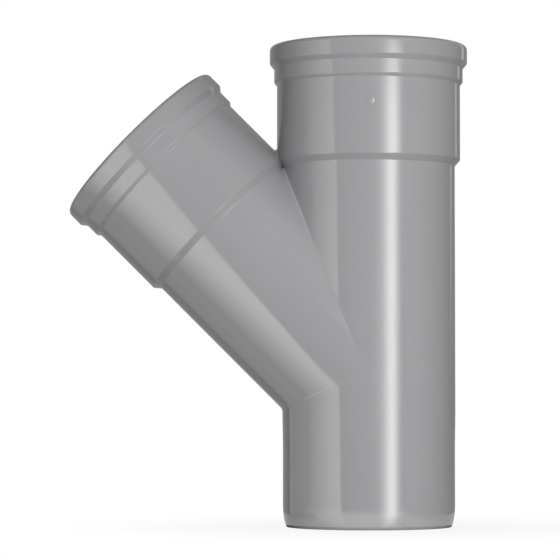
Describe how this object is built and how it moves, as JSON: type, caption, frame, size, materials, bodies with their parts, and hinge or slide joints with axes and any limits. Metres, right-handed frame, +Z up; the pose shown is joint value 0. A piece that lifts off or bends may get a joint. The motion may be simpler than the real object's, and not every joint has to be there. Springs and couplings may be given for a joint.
{
  "type": "lateral wye fitting",
  "caption": "Lateral wye for 110 mm drain pipe: a straight run and a branch at 45 degrees, each with a stepped ring-seal socket, above a plain chamfered spigot.",
  "frame": {"origin": "centre of the spigot's end ring, on the axis of the run", "axes": "+Z up the axis of the run, from the spigot to the run's socket; the branch leans over towards -X in the XZ plane; +Y away from the side that the picture shows"},
  "size_m": [0.2555, 0.1268, 0.308],
  "materials": {
    "grey_pvc": "satin",
    "seal_rubber": "matte"
  },
  "bodies": {
    "root": {"wye_body": "grey_pvc", "run_seal": "seal_rubber", "branch_seal": "seal_rubber"}
  },
  "joints": []
}
